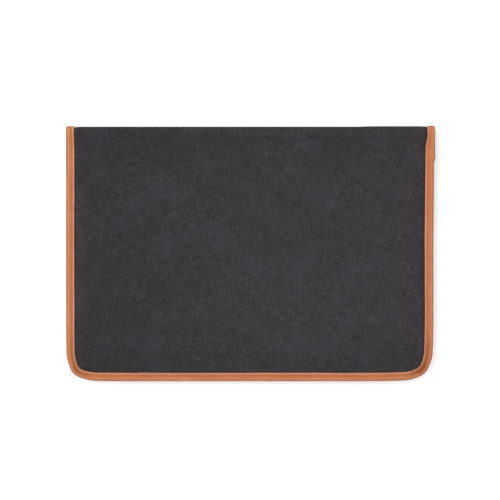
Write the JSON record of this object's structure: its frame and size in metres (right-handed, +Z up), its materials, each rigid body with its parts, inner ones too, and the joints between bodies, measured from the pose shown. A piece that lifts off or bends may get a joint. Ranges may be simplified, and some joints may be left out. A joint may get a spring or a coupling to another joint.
{
  "type": "laptop sleeve",
  "caption": "Padded envelope sleeve for a slim notebook in washed dark canvas, with tan leather binding along its edges and a flap that folds over the mouth.",
  "frame": {"origin": "middle of the sleeve's plan, on the surface that it lies on", "axes": "+X across the sleeve, +Y towards the top fold, +Z up out of the back panel; the flap is folded underneath"},
  "size_m": [0.345, 0.239, 0.0219],
  "materials": {
    "canvas": "washed black cotton canvas, matt, with slubs and worn patches",
    "lining": "brushed grey felt lining",
    "foam": "closed-cell foam padding",
    "leather": "smooth tan leather, matt to satin",
    "thread": "waxed tan thread",
    "magnet": "nickel-plated"
  },
  "bodies": {
    "sleeve": {"back_canvas": "canvas", "back_foam": "foam", "back_lining": "lining", "front_canvas": "canvas", "front_foam": "foam", "front_lining": "lining", "body_binding": "leather", "body_needle_thread": "thread", "body_bobbin_thread": "thread", "edge_binding_left": "leather", "edge_binding_right": "leather", "edge_threads": "thread", "mouth_thread": "thread", "front_magnets": "magnet"},
    "fold": {"fold_canvas": "canvas", "fold_lining": "lining", "fold_binding_left": "leather", "fold_binding_right": "leather", "fold_threads": "thread"},
    "flap": {"flap_canvas": "canvas", "flap_padding": "foam", "flap_lining": "lining", "flap_binding": "leather", "flap_needle_thread": "thread", "flap_bobbin_thread": "thread", "flap_magnets": "magnet"}
  },
  "joints": [
    {"name": "flap_hinge", "type": "hinge", "parent": "sleeve", "child": "fold", "pos_m": [0, 0.11725, 0.01965], "axis": [1, 0, 0], "range_deg": [0, 90], "deforming": ["fold_canvas", "fold_lining", "fold_binding_left", "fold_binding_right", "fold_threads"]},
    {"name": "flap_hinge_lower", "type": "hinge", "parent": "fold", "child": "flap", "pos_m": [0, 0.11725, 0.00315], "axis": [1, 0, 0], "range_deg": [0, 90]}
  ],
  "couplings": [
    {"joint": "flap_hinge_lower", "follows": "flap_hinge", "ratio": 1}
  ]
}
